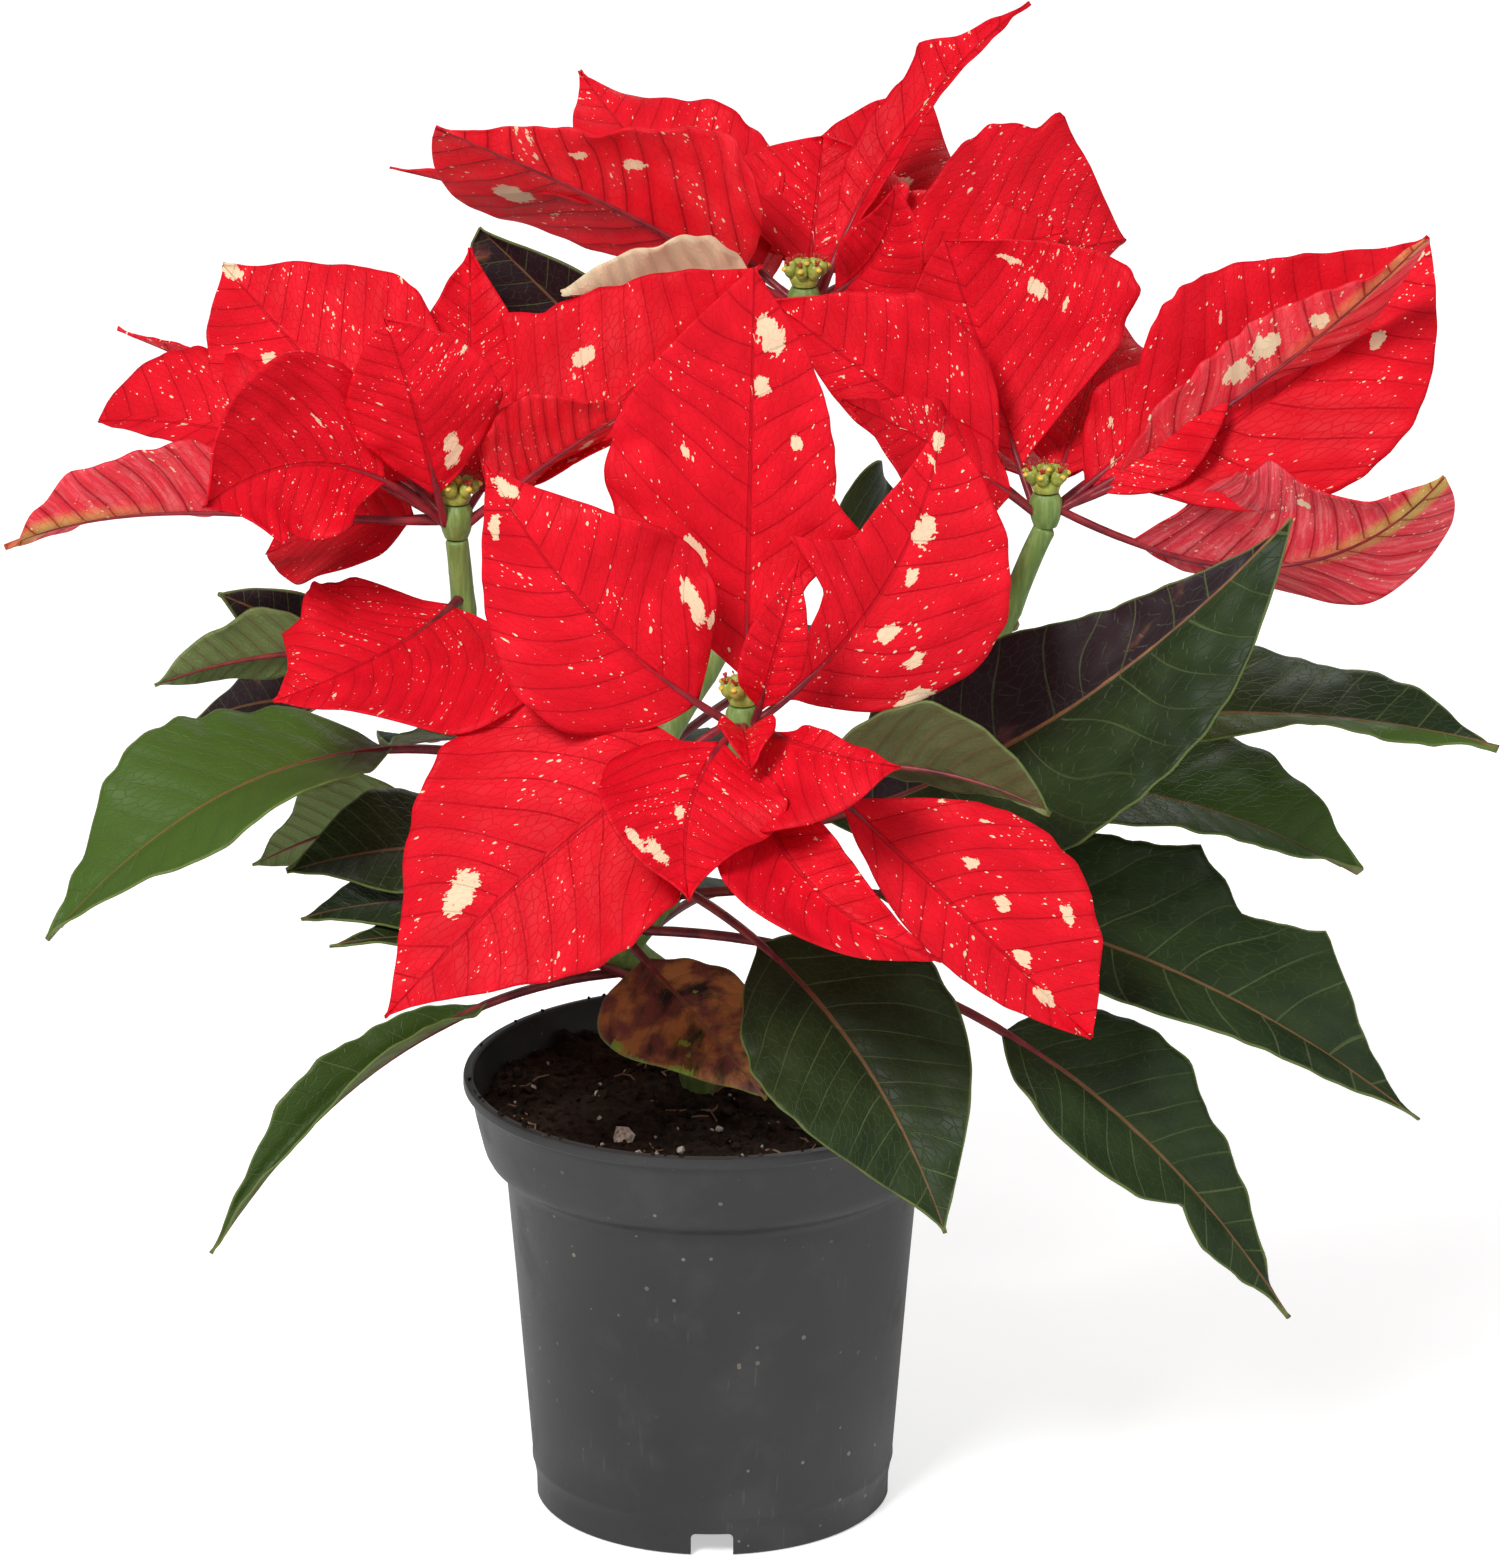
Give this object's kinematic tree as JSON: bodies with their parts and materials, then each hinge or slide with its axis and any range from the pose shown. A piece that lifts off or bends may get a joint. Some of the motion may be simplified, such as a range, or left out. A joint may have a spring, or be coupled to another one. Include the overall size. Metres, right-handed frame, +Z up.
{
  "type": "potted poinsettia",
  "caption": "Flowering house plant in a plain round nursery pot: branching green stem, large pointed green leaves and spreading blooms of red, cream-speckled bracts round small flower buds.",
  "frame": {"origin": "centre of the pot's base, on the surface that the pot stands on", "axes": "+Z up the pot's axis, +X to the right and +Y to the back of the plant as it is seen from the front"},
  "size_m": [0.3844, 0.2581, 0.3867],
  "materials": {
    "pot_plastic": "satin anthracite with dust",
    "peat": "rough crumbly dark peat",
    "green_stem": "smooth green",
    "red_bract": "velvety matte with cream speckles",
    "flower_buds": "matte yellow-green",
    "green_leaf": "satin dark green with pale veins",
    "young_leaf": "satin purple-black"
  },
  "bodies": {
    "root": {"bloom_back": "red_bract", "bloom_front": "red_bract", "bloom_left": "red_bract", "bloom_right": "red_bract", "bract_left_low": "red_bract", "buds_back": "flower_buds", "buds_front": "flower_buds", "buds_left": "flower_buds", "buds_right": "flower_buds", "leaf_back_dark": "young_leaf", "leaf_front_hanging": "green_leaf", "leaf_front_pale": "green_leaf", "leaf_front_purple": "young_leaf", "leaf_left_dark": "young_leaf", "leaf_left_glossy": "young_leaf", "leaf_left_hanging": "green_leaf", "leaf_left_jagged": "green_leaf", "leaf_left_long": "green_leaf", "leaf_left_lower": "green_leaf", "leaf_left_pale": "green_leaf", "leaf_left_purple": "young_leaf", "leaf_left_small": "green_leaf", "leaf_rear_high": "green_leaf", "leaf_rear_left": "green_leaf", "leaf_rear_low": "green_leaf", "leaf_rear_middle": "green_leaf", "leaf_rear_right": "green_leaf", "leaf_rear_side": "green_leaf", "leaf_right_big": "green_leaf", "leaf_right_low": "green_leaf", "leaf_right_middle": "green_leaf", "leaf_right_notched": "green_leaf", "leaf_right_wavy": "green_leaf", "pot": "pot_plastic", "soil": "peat", "stem": "green_stem"}
  },
  "joints": []
}
